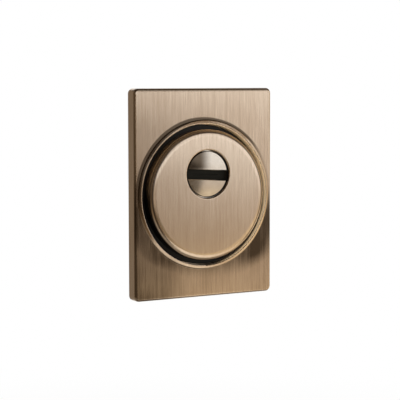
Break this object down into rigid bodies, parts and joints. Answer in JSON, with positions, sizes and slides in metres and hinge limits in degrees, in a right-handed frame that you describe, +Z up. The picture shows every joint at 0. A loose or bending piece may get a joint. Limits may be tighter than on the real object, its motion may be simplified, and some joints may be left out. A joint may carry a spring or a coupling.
{
  "type": "security escutcheon",
  "caption": "Rectangular brushed antique brass security escutcheon with a raised rim, a round steel-cored boss and a turning slotted key disc, to guard a profile lock cylinder.",
  "frame": {"origin": "the boss's axis on the door plane, midway between the two fixing screws", "axes": "+X to the right seen from the front, +Y into the door, +Z up; the front faces -Y"},
  "size_m": [0.06, 0.008, 0.08],
  "materials": {
    "plate_brass": "antique brass, brushed upright",
    "cap_brass": "antique brass, brushed upright",
    "disc_steel": "hardened steel, antique brass plated, satin",
    "body_steel": "hardened steel, black oxide",
    "spring_steel": "spring steel, phosphated",
    "seal_rubber": "black rubber, matt"
  },
  "bodies": {
    "housing": {"cover_plate": "plate_brass", "boss_cap": "cap_brass", "defender_body": "body_steel", "spring_washer": "spring_steel", "retaining_ring": "spring_steel"},
    "disc": {"key_disc": "disc_steel", "dust_seal": "seal_rubber"}
  },
  "joints": [
    {"name": "disc_turn", "type": "hinge", "parent": "housing", "child": "disc", "pos_m": [0, -0.006, 0.008], "axis": [0, 1, 0], "continuous": true}
  ]
}
